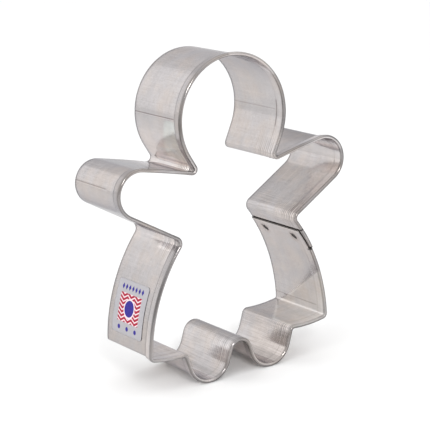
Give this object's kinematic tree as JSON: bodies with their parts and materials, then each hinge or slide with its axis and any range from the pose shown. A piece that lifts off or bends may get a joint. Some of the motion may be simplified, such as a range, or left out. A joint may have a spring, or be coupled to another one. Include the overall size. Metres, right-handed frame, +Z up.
{
  "type": "cookie cutter",
  "caption": "Tinplate cookie cutter in the outline of a traditional gingerbread girl, with a folded hem, a welded lap and a plain striped label.",
  "frame": {"origin": "on the floor between the feet, half way along the depth, with the cutter standing on its feet", "axes": "+Z up to the head, +X across the arms, +Y along the depth, from the hem to the cutting edge"},
  "size_m": [0.0816, 0.0254, 0.0981],
  "materials": {
    "tinplate": "satin tinned steel",
    "weld_metal": "dull, darkened by heat",
    "adhesive": "clear to milky",
    "film": "satin film"
  },
  "bodies": {
    "root": {"cutter_band": "tinplate", "spot_welds": "weld_metal", "label_adhesive": "adhesive", "label_film": "film"}
  },
  "joints": []
}
